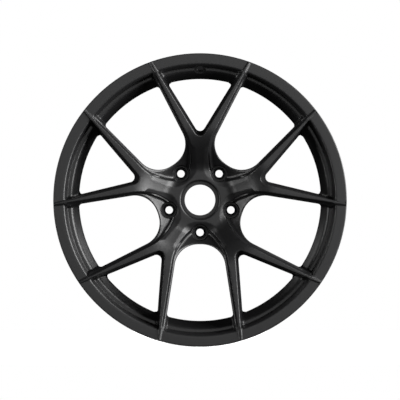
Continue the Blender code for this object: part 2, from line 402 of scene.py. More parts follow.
def notch_distance(x, y, apex, rounding):
    """Distance into the metal from a rounded wedge's edge."""
    centre = apex + rounding / math.sin(NOTCH_ANGLE)
    along = (x - centre) * math.cos(NOTCH_ANGLE) + y * math.sin(NOTCH_ANGLE)
    side = -(x - apex) * math.sin(NOTCH_ANGLE) + y * math.cos(NOTCH_ANGLE)
    tip = np.hypot(x - centre, y) - rounding
    return np.where(along > 0, side, tip)


def bay_distance(x, y):
    """Distance into the metal from the bay's edge."""
    u, v = across_sector(x, y)
    centre = bay_shoulder()
    turn = np.arctan2(v - centre[1], u - centre[0]) % (2 * math.pi)
    shoulder = np.hypot(u - centre[0], v - centre[1]) - BAY_SHOULDER_R
    end = np.hypot(u - BAY_END - BAY_END_R, v) - BAY_END_R
    finish = math.pi / 2 + BAY_SIDE_ANGLE
    side = line_distance(u, v, centre, BAY_SIDE_ANGLE) - BAY_SHOULDER_R
    round_part = np.where(turn > math.pi - BAY_SHOULDER_START, end, shoulder)
    return np.where((turn < finish) | (turn > 1.6 * math.pi), side, round_part)


def step_distance(x, y):
    """Distance from the step's line, positive towards the spoke's axis."""
    low_x, low_y = STEP_LOW_POINT
    centre, radius = step_arc()
    inner = np.hypot(x - low_x, y - low_y - STEP_INNER_R) - STEP_INNER_R
    outer = np.hypot(x - centre[0], y - centre[1]) - radius
    side = -line_distance(x, y, bay_side_point(STEP_FROM_BAY), SIDE_ANGLE)
    along = (x - centre[0]) * math.cos(SIDE_ANGLE) + (y - centre[1]) * math.sin(SIDE_ANGLE)
    return np.where(x < low_x, inner, np.where(along > 0, side, outer))


def line_distance(x, y, point, angle):
    """Distance to the left of the line through a point at an angle."""
    normal = left_of(angle)
    return (x - point[0]) * normal[0] + (y - point[1]) * normal[1]


def bolt_distance(x, y):
    """Distance from the bolt's axis."""
    return np.hypot(x - BOLT[0], y - BOLT[1])


def quarter(inside, radius):
    """Drop of a rounded edge at a distance inside it: the radius at 0, nothing past it."""
    short = np.clip(radius - inside, 0, radius)
    return radius - np.sqrt(np.maximum(radius**2 - short**2, 0))


def soft_min(a, b, width):
    """Lesser of two heights, rounded where they differ by less than the width."""
    share = np.maximum(width - np.abs(a - b), 0) / width
    return np.minimum(a, b) - share**2 * width / 4


# ---- heights


def spoke_top(r):
    """Front of the spokes: flat on the hub, a slope, and level arms out to the lip."""
    return np.interp(r, TOP[:, 0], TOP[:, 1])


def rim_front(r):
    """Front of the rim between the arms."""
    radii, heights = zip(*FRONT_RIM)
    return np.interp(r, radii, heights)


def rounded_path(corners, steps=5):
    """An open outline through corners (r, z, radius), each replaced by an arc."""
    path = [np.array(corners[0][:2], float)]
    for before, corner, after in zip(corners, corners[1:], corners[2:]):
        here = np.array(corner[:2], float)
        to_before = np.array(before[:2]) - here
        to_after = np.array(after[:2]) - here
        to_before /= np.linalg.norm(to_before)
        to_after /= np.linalg.norm(to_after)
        half = math.acos(np.clip(to_before @ to_after, -1, 1)) / 2
        if not corner[2] or half > math.pi / 2 - 0.01:
            path.append(here)
            continue
        cut = corner[2] / math.tan(half)
        middle = (to_before + to_after) / np.linalg.norm(to_before + to_after)
        centre = here + middle * corner[2] / math.sin(half)
        start = here + to_before * cut - centre
        end = here + to_after * cut - centre
        turn = math.atan2(start[0] * end[1] - start[1] * end[0], start @ end)
        for i in range(steps + 1):
            angle = turn * i / steps
            cos, sin = math.cos(angle), math.sin(angle)
            path.append(centre + (start[0] * cos - start[1] * sin, start[0] * sin + start[1] * cos))
    path.append(np.array(corners[-1][:2], float))
    return np.array(path)


def top_profile():
    """Front of the hub and the spokes, out to the lip's edge."""
    corners = [
        (0, HUB_Z, 0),
        (SLOPE_FOOT_R, HUB_Z, SLOPE_FOOT_ROUND),
        (SLOPE_HEAD_R, HALF_WIDTH, SLOPE_HEAD_ROUND),
        (ARM_END_R, HALF_WIDTH, 0),
        (OUTER_R, HALF_WIDTH - ARM_END_DROP, 0),
    ]
    return rounded_path(corners, 8)


def back_profile():
    """Back of the hub and the spokes, out to the rim."""
    corners = [
        (PAD_INNER_R, PAD_Z, 0),
        (76.0, PAD_Z, 3.0),
        (88.0, 63.0, 30.0),
        (104.0, 82.0, 60.0),
        (124.0, 98.5, 40.0),
        (150.0, 101.5, 60.0),
        (203.0, 101.0, 18.0),
        (218.0, 80.0, 20.0),
        (WINDOW_R, BACK_EDGE_Z, 0),
    ]
    return rounded_path(corners)


TOP = top_profile()
BACK = back_profile()


def spoke_back(r):
    """Back of the hub and the spokes."""
    return np.interp(r, BACK[:, 0], BACK[:, 1])


def edge_round(r):
    """Radius of the edges of the spokes' tops, smaller on the lip."""
    return np.interp(r, (RIDGE_START_R, RIDGE_FULL_R), (EDGE_R, RIDGE_EDGE_R))


def step_depth(r):
    """Depth of the ledge below the spokes' top. It rises to the lip's face at the rim."""
    return np.interp(r, STEP_DEPTH_R, STEP_DEPTHS)


def facet_drop(x, y):
    """Depth of the facets below the spokes' top."""
    centre = FACET_CENTRE_R * direction(HALF_STEP)
    inside = FACET_R - np.hypot(x - centre[0], y - centre[1])
    above = line_distance(x, y, FACET_LINE_POINT, FACET_LINE_ANGLE)
    before_mitre = line_distance(x, y, MITRE_POINT, MITRE_ANGLE)
    drop = soft_min(FACET_SLOPE * inside, FACET_SLOPE * above, FACET_BLEND)
    drop = soft_min(drop, MITRE_SLOPE * before_mitre, MITRE_BLEND)
    softened = (drop + np.sqrt(drop**2 + FACET_EDGE**2)) / 2
    return np.where(drop > -1.0, softened, 0.0)


def spoke_front(x, y):
    """Front of the hub, spokes, ledges and terraces, with the walls down to the windows."""
    r = np.hypot(x, y)
    top = spoke_top(r)

    edge = notch_distance(x, y, NOTCH_TOP_APEX, NOTCH_TOP_ROUND)
    foot = notch_distance(x, y, NOTCH_APEX, NOTCH_ROUND)
    low = spoke_back(r) + WALL_FOOT
    edge_r = edge_round(r)
    slope = (top - edge_r - low) / np.maximum(foot - edge, 1.0)
    notch_wall = np.where(edge >= 0, top - quarter(edge, edge_r), top - edge_r + edge * slope)

    star = top - facet_drop(x, y)
    bay = bay_distance(x, y)
    inside_bay = np.maximum(bay, 0)
    step = step_distance(x, y)
    below = -STEP_HALF - step
    width = np.maximum(below, 0) + inside_bay
    cove = np.clip(COVE_GROWTH * (width - COVE_START), COVE_LEAST, COVE_MOST)
    floor = top - step_depth(r) - LEDGE_TILT * np.clip(LEDGE_WIDTH - inside_bay, 0, None)
    ledge = floor - quarter(inside_bay, BAY_EDGE_R) + quarter(below, cove)
    ledge = np.where(bay < 0, floor - BAY_EDGE_R + BAY_WALL_SLOPE * bay, ledge)
    rise = (step + STEP_HALF) / (2 * STEP_HALF)
    wall = (floor + cove) + (star - edge_r - floor - cove) * rise
    upper = star - quarter(step - STEP_HALF, edge_r)
    stepped = np.where(step > STEP_HALF, upper, np.where(step > -STEP_HALF, wall, ledge))

    height = np.minimum(notch_wall, stepped)
    off_pocket = np.maximum(bolt_distance(x, y) - POCKET_R, 0)
    return height - quarter(off_pocket, POCKET_EDGE)


def fillet_on(floor, away, radius):
    """A floor with the fillet that rises from it towards a wall."""
    return floor + np.where(away > 0, quarter(np.maximum(away, 0), radius), 0)


def front_height(x, y):
    """Height of everything seen from the front, with fillets where the arms meet the rim."""
    r = np.hypot(x, y)
    arm = spoke_front(x, y)
    rim = rim_front(r)
    top = spoke_top(r)

    foot = notch_distance(x, y, NOTCH_APEX, NOTCH_ROUND)
    gap = (NOTCH_APEX - NOTCH_TOP_APEX) * math.sin(NOTCH_ANGLE)
    low = spoke_back(r) + WALL_FOOT
    edge_z = top - edge_round(r)
    slope = (edge_z - low) / gap
    fillet = np.clip(edge_z - rim, 0, NOTCH_FILLET)
    wall_at = (rim + fillet - low) / slope
    notch_side = fillet_on(rim, wall_at - foot, fillet)

    bay = bay_distance(x, y)
    ledge_edge = top - step_depth(r) - LEDGE_TILT * LEDGE_WIDTH - BAY_EDGE_R
    fillet = np.clip(ledge_edge - rim, 0, BAY_FILLET)
    wall_at = (ledge_edge - rim - fillet) / BAY_WALL_SLOPE
    bay_side = fillet_on(rim, -bay - wall_at, fillet)

    whole = np.maximum(np.maximum(notch_side, bay_side), arm)
    whole = np.minimum(whole, top)
    whole = np.maximum(whole, rim)
    return np.where(r > ROOT_R, whole, arm)


def back_height(x, y):
    """Height of the back, with a rounded edge along the windows that fades at the rim."""
    r = np.hypot(x, y)
    fade = np.clip((WINDOW_R - r) / BACK_EDGE_FADE, 0, 1)
    notch = notch_distance(x, y, NOTCH_APEX, NOTCH_ROUND)
    edge = np.maximum(np.minimum(notch, bay_distance(x, y)), 0)
    return spoke_back(r) + fade * quarter(edge, BACK_EDGE_R)


# ---- sector mesh


class Sector:
    """Points and triangles of one tenth of the forging."""

    def __init__(self):
        self.points = []
        self.faces = []

    def add(self, points):
        """Adds points and returns their numbers."""
        first = len(self.points)
        self.points += [tuple(p) for p in points]
        return list(range(first, len(self.points)))

    def sew(self, one, other):
        """Triangles between two rows, each with its points and their rising keys."""
        one, keys_one = one
        other, keys_other = other
        i = j = 0
        while i < len(one) - 1 or j < len(other) - 1:
            at_end = i == len(one) - 1
            other_end = j == len(other) - 1
            if other_end or (not at_end and keys_one[i + 1] <= keys_other[j + 1]):
                self.faces.append((one[i], one[i + 1], other[j]))
                i += 1
            else:
                self.faces.append((one[i], other[j + 1], other[j]))
                j += 1

    def sew_all(self, rows):
        """Triangles between each row and the next."""
        for one, other in zip(rows, rows[1:]):
            self.sew(one, other)


def free_places(places, spacing):
    """Places on a triangular grid, clear of the given ones."""
    known = np.array(places)
    low, high = known.min(0), known.max(0)
    found = []
    for row, y in enumerate(np.arange(low[1], high[1], spacing * math.sqrt(3) / 2)):
        for x in np.arange(low[0] + spacing / 2 * (row % 2), high[0], spacing):
            if np.min(np.hypot(known[:, 0] - x, known[:, 1] - y)) > SPACING_GAP * spacing:
                found.append((x, y))
    return found


def on_planes(plan, faces):
    """The plan with the points of its two straight sides put exactly on them.

    A triangle with all its corners on one side has no area left and is dropped.
    """
    across = left_of(HALF_STEP)
    off = plan @ across
    on_bolt_axis = np.abs(off) < SIDE_GAP
    plan[on_bolt_axis] -= off[on_bolt_axis, None] * across
    on_spoke_axis = np.abs(plan[:, 1]) < SIDE_GAP
    plan[on_spoke_axis, 1] = 0.0
    kept = []
    for face in faces:
        corners = list(face)
        if not (all(on_spoke_axis[corners]) or all(on_bolt_axis[corners])):
            kept.append(face)
    return plan, kept


def encloses(outline, places):
    """Whether each place is inside the closed outline."""
    starts = np.asarray(outline)
    ends = np.roll(starts, -1, axis=0)
    found = np.zeros(len(places), bool)
    for (x0, y0), (x1, y1) in zip(starts, ends):
        if y0 == y1:
            continue
        crosses = (y0 > places[:, 1]) != (y1 > places[:, 1])
        found ^= crosses & (places[:, 0] < x0 + (places[:, 1] - y0) * (x1 - x0) / (y1 - y0))
    return found


def triangulate(outline, rails, spacing, details=()):
    """Triangles of the plan inside the outline, with edges along the rails."""
    places = [tuple(p) for p in outline]
    outer = list(range(len(places)))
    edges = []
    for rail in rails:
        first = len(places)
        places += [tuple(p) for p in rail]
        edges += [(i, i + 1) for i in range(first, len(places) - 1)]
    for detail in details:
        if np.min(np.hypot(*(np.array(places) - detail).T)) > DETAIL_GAP:
            places.append(tuple(detail))
    places += free_places(places, spacing)
    made = delaunay_2d_cdt([Vector(p) for p in places], edges, [outer], INSIDE_ONLY, MERGE_GAP)
    placed = np.array([place[:] for place in made[0]])
    # A rail that leaves the outline brings triangles from outside it, which are dropped.
    middles = placed[np.array(made[2])].mean(axis=1)
    kept = [face for face, inside in zip(made[2], encloses(outline, middles)) if inside]
    used = sorted({i for face in kept for i in face})
    index = {old: new for new, old in enumerate(used)}
    return on_planes(placed[used], [tuple(index[i] for i in face) for face in kept])


def nearest_on(curve, place):
    """Distance along a curve to its point nearest a place, and the gap between the two."""
    starts, ways = curve[:-1], np.diff(curve, axis=0)
    steps = np.hypot(*ways.T)
    share = np.sum((place - starts) * ways, axis=1) / np.maximum(steps**2, 1e-12)
    share = np.clip(share, 0, 1)
    gaps = np.hypot(*(starts + ways * share[:, None] - place).T)
    best = int(np.argmin(gaps))
    return np.sum(steps[:best]) + share[best] * steps[best], gaps[best]


class Sheet:
    """The sector's front or back: a height field with one loop of points along its open edge."""

    def __init__(self, sector, plan, faces, height, turned_over=False):
        self.plan = plan
        self.loop = border(faces)
        self.r = np.hypot(plan[:, 0], plan[:, 1])
        self.first = len(sector.points)
        sector.add(np.column_stack((plan, height(plan[:, 0], plan[:, 1]))))
        order = -1 if turned_over else 1
        sector.faces += [tuple(self.first + i for i in face[::order]) for face in faces]

    def row(self, run, keys):
        """A run of the loop as a row in the order of its keys."""
        order = np.argsort(keys)
        return [self.first + run[i] for i in order], np.array(keys)[order]

    def row_at_radius(self, radius):
        """The open edge on a circle, with its points' angles."""
        run = loop_part(self.loop, np.abs(self.r - radius) < CIRCLE_GAP)
        return self.row(run, np.arctan2(self.plan[run, 1], self.plan[run, 0]))

    def row_along(self, curve, left_out=()):
        """The open edge on a curve, with its points' distances along it."""
        found = np.zeros(len(self.plan), bool)
        for i in self.loop:
            found[i] = nearest_on(curve, self.plan[i])[1] < CURVE_GAP
        found[list(left_out)] = False
        run = loop_part(self.loop, found)
        return self.row(run, [nearest_on(curve, self.plan[i])[0] for i in run])

    def row_round_bolt(self, radius):
        """The open edge on a circle about the bolt, with its points' turns about it."""
        away = bolt_distance(self.plan[:, 0], self.plan[:, 1])
        run = loop_part(self.loop, away < radius + POCKET_GAP)
        off = self.plan[run] - BOLT
        turns = (HALF_STEP - np.arctan2(off[:, 1], off[:, 0])) % (2 * math.pi)
        return self.row(run, np.where(turns > 1.5 * math.pi, 0.0, turns))


def border(faces):
    """Ordered loop of the points along the open edge."""
    sides = [side for face in faces for side in zip(face, face[1:] + face[:1])]
    known = set(sides)
    following = {a: b for a, b in sides if (b, a) not in known}
    start = next(iter(following))
    loop = [start]
    while following[loop[-1]] != start:
        loop.append(following[loop[-1]])
    return loop


def loop_part(loop, chosen):
    """The run of the loop for which chosen holds, as one list."""
    flags = [chosen[i] for i in loop]
    first = next(i for i in range(len(loop)) if flags[i] and not flags[i - 1])
    return list(itertools.takewhile(lambda i: chosen[i], loop[first:] + loop[:first]))


def pocket_arc(radius):
    """Half of a circle about the bolt, from the bolt axis's outer crossing to its inner one."""
    return arc(BOLT, radius, HALF_STEP, HALF_STEP - math.pi, 1.5)


def front_outline():
    """Plan of the front: along the spoke's axis, the rim, the bolt's axis and the hub."""
    notch = notch_outline()
    pocket = pocket_arc(POCKET_R)
    axis = direction(HALF_STEP)
    return np.vstack((
        segment((HUB_INNER_R, 0), (notch[0][0], 0))[:-1],
        notch[:-1],
        segment((WINDOW_R, 0), (LIP_FACE_END_R, 0))[:-1],
        ring(LIP_FACE_END_R)[:-1],
        segment(LIP_FACE_END_R * axis, WINDOW_R * axis)[:-1],
        bay_outline()[:-1],
        segment(BAY_END * axis, pocket[0])[:-1],
        pocket[:-1],
        segment(pocket[-1], HUB_INNER_R * axis, 2.0)[:-1],
        ring(HUB_INNER_R, HUB_STEPS)[::-1][:-1],
    ))


def within(rail, low, high):
    """The points of a rail whose radius is between two values."""
    r = np.hypot(rail[:, 0], rail[:, 1])
    return rail[(r >= low) & (r <= high)]


def front_rails():
    """Lines that the front's triangles follow, along every edge, fillet and groove."""
    rails = []
    for share in NOTCH_WALL_LINES:
        apex = NOTCH_APEX + (NOTCH_TOP_APEX - NOTCH_APEX) * share
        rounding = NOTCH_ROUND + (NOTCH_TOP_ROUND - NOTCH_ROUND) * share
        rails.append(notch_curve(apex, rounding, NOTCH_WALL_REACH))
    for share in (0.0, *EDGE_LINES):
        inset = share * EDGE_R
        apex = NOTCH_TOP_APEX - inset / math.sin(NOTCH_ANGLE)
        rails.append(notch_curve(apex, NOTCH_TOP_ROUND + inset, NOTCH_EDGE_REACH))
    for share in BAY_EDGE_LINES:
        rails.append(within(bay_curve(share * BAY_EDGE_R, BAY_EDGE_REACH), 0, ARM_END_R))
    for inset in (-STEP_HALF, 0.0, STEP_HALF):
        rails.append(step_curve(inset, STEP_REACH))
    for share in EDGE_LINES:
        inset = STEP_HALF + share * EDGE_R
        rails.append(within(step_curve(inset, STEP_EDGE_REACH), 0, ARM_END_R))
    for inset in COVE_LINES:
        rails.append(step_curve(-STEP_HALF - inset, 0)[:-1])
    for r, _ in FRONT_RIM[1:-1]:
        rails.append(ring(r))
    for r in LIP_CIRCLES:
        rails.append(ring(r))
    for r in (*HUB_CIRCLES, *TOP[1:-2, 0]):
        rails.append(ring(r, HUB_STEPS))
    for outside in POCKET_LINES:
        rails.append(pocket_arc(POCKET_R + outside))
    return rails + facet_rails() + arm_rails()


def line_beside(point, angle, offset, span, step=3.0):
    """Part of a straight line, moved to its left by the offset. The span is along it."""
    start = np.asarray(point) + offset * left_of(angle)
    return segment(start + span[0] * direction(angle), start + span[1] * direction(angle), step)


def facet_rails():
    """Lines along the facets' two upper edges and along the mitre."""
    rails = []
    centre = FACET_CENTRE_R * direction(HALF_STEP)
    for inset in FACET_LINES:
        rails.append(arc(centre, FACET_R - inset, HALF_STEP - math.pi, FACET_END_TURN))
        rails.append(line_beside(FACET_LINE_POINT, FACET_LINE_ANGLE, inset, FACET_SPAN))
    for inset in MITRE_LINES:
        rails.append(line_beside(MITRE_POINT, MITRE_ANGLE, inset, MITRE_SPAN, 2.0))
    return rails


def arm_rails():
    """Lines along the fillets and edges of the arm where it crosses the rim."""
    rails = []
    for outside in NOTCH_FILLET_LINES:
        line = line_beside((NOTCH_APEX, 0.0), NOTCH_ANGLE, -outside, NOTCH_FILLET_SPAN, 1.5)
        rails.append(within(line, WINDOW_R, ARM_END_R))
    for outside in BAY_FILLET_LINES:
        line = line_beside(bay_side_point(), SIDE_ANGLE, outside, BAY_FILLET_SPAN, 1.5)
        rails.append(within(line, WINDOW_R, ARM_END_R))
    for outside in RIDGE_LINES:
        line = line_beside((NOTCH_TOP_APEX, 0.0), NOTCH_ANGLE, -outside, RIDGE_SPAN, 1.5)
        rails.append(within(line, RIDGE_FULL_R, LIP_FACE_END_R))
    return rails


def front_details():
    """Close points where the arm runs out over the rim, and along the step near the hub."""
    along, across = direction(ARM_ANGLE), left_of(ARM_ANGLE)
    low, high = RIDGE_OFFSET - ARM_DETAIL_HALF, RIDGE_OFFSET + ARM_DETAIL_HALF
    details = []
    for offset in np.arange(low, high, DETAIL_STEP):
        for distance in np.arange(*ARM_DETAIL_SPAN, DETAIL_STEP):
            place = ARM_POINT + distance * along + offset * across
            if ARM_DETAIL_R < np.hypot(*place) < LIP_FACE_END_R - DETAIL_OFF_EDGE:
                details.append(place)
    for x in np.arange(*STEP_DETAIL_X, DETAIL_STEP):
        for y in np.arange(*STEP_DETAIL_Y, DETAIL_STEP):
            on_step = -STEP_DETAIL_BELOW < step_distance(x, y) < STEP_DETAIL_ABOVE
            off_bay = bay_distance(x, y) > DETAIL_OFF_BAY
            off_pocket = abs(bolt_distance(x, y) - POCKET_R) > DETAIL_OFF_EDGE
            if on_step and off_bay and off_pocket:
                details.append(np.array((x, y)))
    return details


def back_outline():
    """Plan of the back, which ends at the rim's inner side."""
    notch = notch_outline()
    bay = bay_outline()
    notch_end = math.atan2(*notch_corner()[::-1])
    bay_start = math.atan2(*bay_corner()[::-1])
    last = next(i for i in range(len(notch)) if np.hypot(*notch[i]) > ROOT_R)
    first = max(i for i in range(len(bay)) if np.hypot(*bay[i]) > ROOT_R)
    exit_arc = pocket_arc(BOLT_EXIT_R)
    axis = direction(HALF_STEP)
    return np.vstack((
        segment((PAD_INNER_R, 0), (notch[0][0], 0), 4.0)[:-1],
        notch[:last],
        arc((0, 0), WINDOW_R, notch_end, bay_start, 3.0),
        bay[first + 1:-1],
        segment(BAY_END * axis, exit_arc[0])[:-1],
        exit_arc[:-1],
        segment(exit_arc[-1], PAD_INNER_R * axis, 3.0)[:-1],
        ring(PAD_INNER_R, PAD_STEPS)[::-1][:-1],
    ))


def back_rails():
    """Lines that the back's triangles follow."""
    rails = []
    for inset in BACK_EDGE_LINES:
        apex = NOTCH_APEX - inset / math.sin(NOTCH_ANGLE)
        rails.append(notch_curve(apex, NOTCH_ROUND + inset, BACK_NOTCH_REACH))
        rails.append(bay_curve(inset, BACK_BAY_REACH))
    for r in (*BACK[1:-1, 0], *BACK_CIRCLES):
        rails.append(ring(r, HUB_STEPS))
    rails.append(pocket_arc(BOLT_EXIT_R + EXIT_LINE))
    return rails


def lathe(sector, path, first, last):
    """Turned strips through (r, z), between two rows that are there already."""
    angles = np.linspace(0, HALF_STEP, TURNED_STEPS + 1)
    rows = [first]
    for r, z in path:
        row = sector.add([(r * math.cos(t), r * math.sin(t), z) for t in angles])
        rows.append((row, angles))
    sector.sew_all([*rows, last])


def rim_path():
    """The rim's section from the lip's outer edge down the tyre side and back up inside."""
    lip = [
        (OUTER_R - 0.9, LIP_Z - 0.2, 0),
        (OUTER_R, LIP_Z - 1.4, 0.8),
    ]
    flange = [
        (OUTER_R, FLANGE_Z + 6.0, 3.0),
        (OUTER_R - 4.0, FLANGE_Z, 3.0),
        (256.9, FLANGE_Z, 5.5),
        (256.4, 114.0, 3.0),
        (255.0, 98.6, 1.2),
        (HUMP_R, 96.4, 1.4),
        (HUMP_R, 92.0, 1.6),
    ]
    well = [
        (247.0, 86.0, 6.0),
        (233.5, 72.0, 9.0),
        (WELL_R, 66.0, 3.0),
        (WELL_R, 19.0, 8.0),
        (237.0, 9.0, 8.0),
        (246.0, -8.0, 30.0),
        (253.0, -88.0, 20.0),
    ]
    inboard_flange = [(r, -z, rounding) for r, z, rounding in reversed(flange)]
    inside = [
        (OUTER_R, -HALF_WIDTH + 1.6, 1.0),
        (OUTER_R - 4.0, -HALF_WIDTH, 3.5),
        (266.0, -HALF_WIDTH + 1.4, 3.0),
        (261.0, -126.0, 6.0),
        (251.8, -117.0, 9.0),
        (250.3, -98.0, 12.0),
        (241.3, -9.0, 25.0),
        (228.6, 17.0, 25.0),
        (226.9, 50.0, 0),
        (WINDOW_R, 56.0, 0),
    ]
    return rounded_path(lip + flange + well + inboard_flange + inside, 2)


def bore_path():
    """From the hub's face over its soft edge, the cap's seat and the bore to the pad."""
    corners = [
        (39.0, HUB_Z, 0),
        (35.2, HUB_Z, 3.2),
        (35.2, 77.8, 0),
        (34.4, 77.8, 0),
        (34.4, 78.65, 0.2),
        (28.6, 78.65, 0.6),
        (28.6, 63.0, 0.4),
        (36.3, 61.0, 0.4),
        (36.3, PAD_Z, 1.4),
        (37.4, PAD_Z, 0),
    ]
    return rounded_path(corners, 3)


def pocket_path():
    """Radius about the bolt and height, from below the pocket's edge to the pad."""
    corners = [
        (POCKET_R - 0.05, 74.0, 0),
        (POCKET_R - 0.1, 68.0, 1.2),
        (12.3, 68.0, 0.3),
        (12.3, 58.7, 0),
        (10.3, 58.7, 0),
        (10.3, 49.7, 0),
        (7.6, 49.7, 0.3),
        (7.6, PAD_Z + 0.9, 0),
    ]
    return rounded_path(corners, 2)


def pocket_strips(sector, front, back):
    """Strips down a bolt pocket, between its rows on the hub's face and on its pad."""
    turns = np.linspace(0, math.pi, TURNED_STEPS + 1)
    rows = [front]
    for r, z in pocket_path():
        places = [(*(BOLT + r * direction(HALF_STEP - turn)), z) for turn in turns]
        rows.append((sector.add(places), turns))
    sector.sew_all([*rows, back])


def window_wall(sector, front, back):
    """Wall between the front's and the back's rows along a window.

    Where the window runs along the rim, the wall ends in new points, which it returns.
    """
    ends = []
    end_keys = []
    for i, key in zip(*front):
        x, y, _ = sector.points[i]
        if abs(math.hypot(x, y) - WINDOW_R) < HEAD_GAP:
            ends += sector.add([(x, y, BACK_EDGE_Z)])
            end_keys.append(key)
    foot = back[0] + ends
    keys = np.concatenate((back[1], end_keys))
    order = np.argsort(keys, kind="stable")
    sector.sew(front, ([foot[i] for i in order], keys[order]))
    return ends


def build_sector():
    """One tenth of the forging: its front, its back, and the walls and strips between them."""
    sector = Sector()
    plan, faces = triangulate(front_outline(), front_rails(), FRONT_SPACING, front_details())
    front = Sheet(sector, plan, faces, front_height)
    plan, faces = triangulate(back_outline(), back_rails(), BACK_SPACING)
    back = Sheet(sector, plan, faces, back_height, turned_over=True)

    root = sorted(i for i in back.loop if abs(back.r[i] - WINDOW_R) < ROOT_GAP)
    before = back.loop[-1:] + back.loop[:-1]
    after = back.loop[1:] + back.loop[:1]
    amid_root = [b for a, b, c in zip(before, back.loop, after) if {a, b, c} <= set(root)]
    rim_points = []
    for curve in (notch_outline(), bay_outline()):
        rim_points += window_wall(sector, front.row_along(curve), back.row_along(curve, amid_root))
    rim_points += [back.first + i for i in root]
    places = np.array([sector.points[i] for i in rim_points])
    angles = np.arctan2(places[:, 1], places[:, 0])
    order = np.argsort(angles, kind="stable")
    rim_row = ([rim_points[i] for i in order], angles[order])

    lathe(sector, rim_path(), front.row_at_radius(LIP_FACE_END_R), rim_row)
    lathe(sector, bore_path(), front.row_at_radius(HUB_INNER_R), back.row_at_radius(PAD_INNER_R))
    pocket_strips(sector, front.row_round_bolt(POCKET_R), back.row_round_bolt(BOLT_EXIT_R))
    return sector


def whole_wheel(sector):
    """All ten sectors in one closed mesh, standing in the frame's axes."""
    points = np.array(sector.points)
    faces = np.array(sector.faces)
    placed = []
    turned = []
    for spoke in range(SPOKES):
        turn = SPOKE_TURN + spoke * 2 * HALF_STEP
        cos, sin = math.cos(turn), math.sin(turn)
        for side in (1, -1):
            x, y, z = points[:, 0], side * points[:, 1], points[:, 2]
            outward = faces if side < 0 else faces[:, ::-1]
            turned.append(outward + len(placed) * len(points))
            placed.append(np.column_stack((x * cos - y * sin, -z, x * sin + y * cos)) * MM)
    mesh = bpy.data.meshes.new("forging")
    mesh.from_pydata(np.vstack(placed), [], np.vstack(turned).tolist())
    work = bmesh.new()
    work.from_mesh(mesh)
    bmesh.ops.remove_doubles(work, verts=work.verts, dist=0.000004)
    bmesh.ops.dissolve_degenerate(work, edges=work.edges, dist=0.000001)
    loose = [v for v in work.verts if not v.link_faces]
    bmesh.ops.delete(work, geom=loose, context="VERTS")
    bmesh.ops.recalc_face_normals(work, faces=work.faces)
    work.to_mesh(mesh)
    work.free()
    return mesh


# ---- materials


def new_material(name):
    """A material, with its shader and the object's own coordinates for its textures."""
    material = bpy.data.materials.new(name)
    material.use_nodes = True
    nodes = material.node_tree.nodes
    places = nodes.new("ShaderNodeTexCoord").outputs["Object"]
    return material, nodes["Principled BSDF"], places


def noise(places, scale, detail):
    """Noise texture in the tree that the coordinates belong to."""
    tree = places.id_data
    made = tree.nodes.new("ShaderNodeTexNoise")
    made.inputs["Scale"].default_value = scale
    made.inputs["Detail"].default_value = detail
    tree.links.new(places, made.inputs["Vector"])
    return made.outputs["Fac"]


def set_colour(shader, share, dark, pale):
    """Base colour between two tones."""
    tree = share.id_data
    shade = tree.nodes.new("ShaderNodeMixRGB")
    shade.inputs["Color1"].default_value = dark
    shade.inputs["Color2"].default_value = pale
    tree.links.new(share, shade.inputs["Fac"])
    tree.links.new(shade.outputs["Color"], shader.inputs["Base Color"])


def set_roughness(shader, share, smooth, rough, low=0.0, high=1.0):
    """Roughness between two values, as the share goes from low to high."""
    tree = share.id_data
    scaled = tree.nodes.new("ShaderNodeMapRange")
    scaled.inputs["From Min"].default_value = low
    scaled.inputs["From Max"].default_value = high
    scaled.inputs["To Min"].default_value = smooth
    scaled.inputs["To Max"].default_value = rough
    tree.links.new(share, scaled.inputs["Value"])
    tree.links.new(scaled.outputs["Result"], shader.inputs["Roughness"])


def set_bump(shader, height, strength, distance):
    """Bumps of a texture's height."""
    tree = height.id_data
    bump = tree.nodes.new("ShaderNodeBump")
    bump.inputs["Strength"].default_value = strength
    bump.inputs["Distance"].default_value = distance
    tree.links.new(height, bump.inputs["Height"])
    tree.links.new(bump.outputs["Normal"], shader.inputs["Normal"])


def satin_black():
    """Satin black powder coat: a faint cloudy tone and a fine grain."""
    material, shader, places = new_material("satin_black_paint")
    cloud = noise(places, 9.0, 3.0)
    grain = noise(places, 1400.0, 2.0)
    set_colour(shader, cloud, (0.0065, 0.0065, 0.0069, 1), (0.0095, 0.0095, 0.0099, 1))
    set_roughness(shader, grain, 0.36, 0.44, low=0.3, high=0.7)
    set_bump(shader, grain, 0.04, 0.0002)
    return material


def dark_steel():
    """Phosphated steel with brighter and rougher patches."""
    material, shader, places = new_material("dark_steel")
    shader.inputs["Metallic"].default_value = 0.85
    patches = noise(places, 260.0, 4.0)
    set_colour(shader, patches, (0.030, 0.030, 0.032, 1), (0.060, 0.060, 0.063, 1))
    set_roughness(shader, patches, 0.34, 0.52)
    set_bump(shader, patches, 0.2, 0.0001)
    return material


# ---- pieces


def link(obj):
    bpy.context.scene.collection.objects.link(obj)
    return obj


def turned_mesh(name, path, steps, capped=False):
    """A solid turned about the direction of the wheel's axis, with its own axis at the origin.

    The path (r, z) is closed, or it is open and a disc caps each end.
    """
    work = bmesh.new()
    turns = [2 * math.pi * i / steps for i in range(steps)]
    rings = []
    for r, z in path:
        places = [(r * math.cos(t) * MM, -z * MM, r * math.sin(t) * MM) for t in turns]
        rings.append([work.verts.new(place) for place in places])
    following = rings[1:] if capped else rings[1:] + rings[:1]
    for one, other in zip(rings, following):
        for i in range(steps):
            j = (i + 1) % steps
            work.faces.new((one[i], one[j], other[j], other[i]))
    if capped:
        work.faces.new(rings[0])
        work.faces.new(rings[-1])
    bmesh.ops.recalc_face_normals(work, faces=work.faces)
    made = bpy.data.meshes.new(name)
    work.to_mesh(made)
    work.free()
    return made


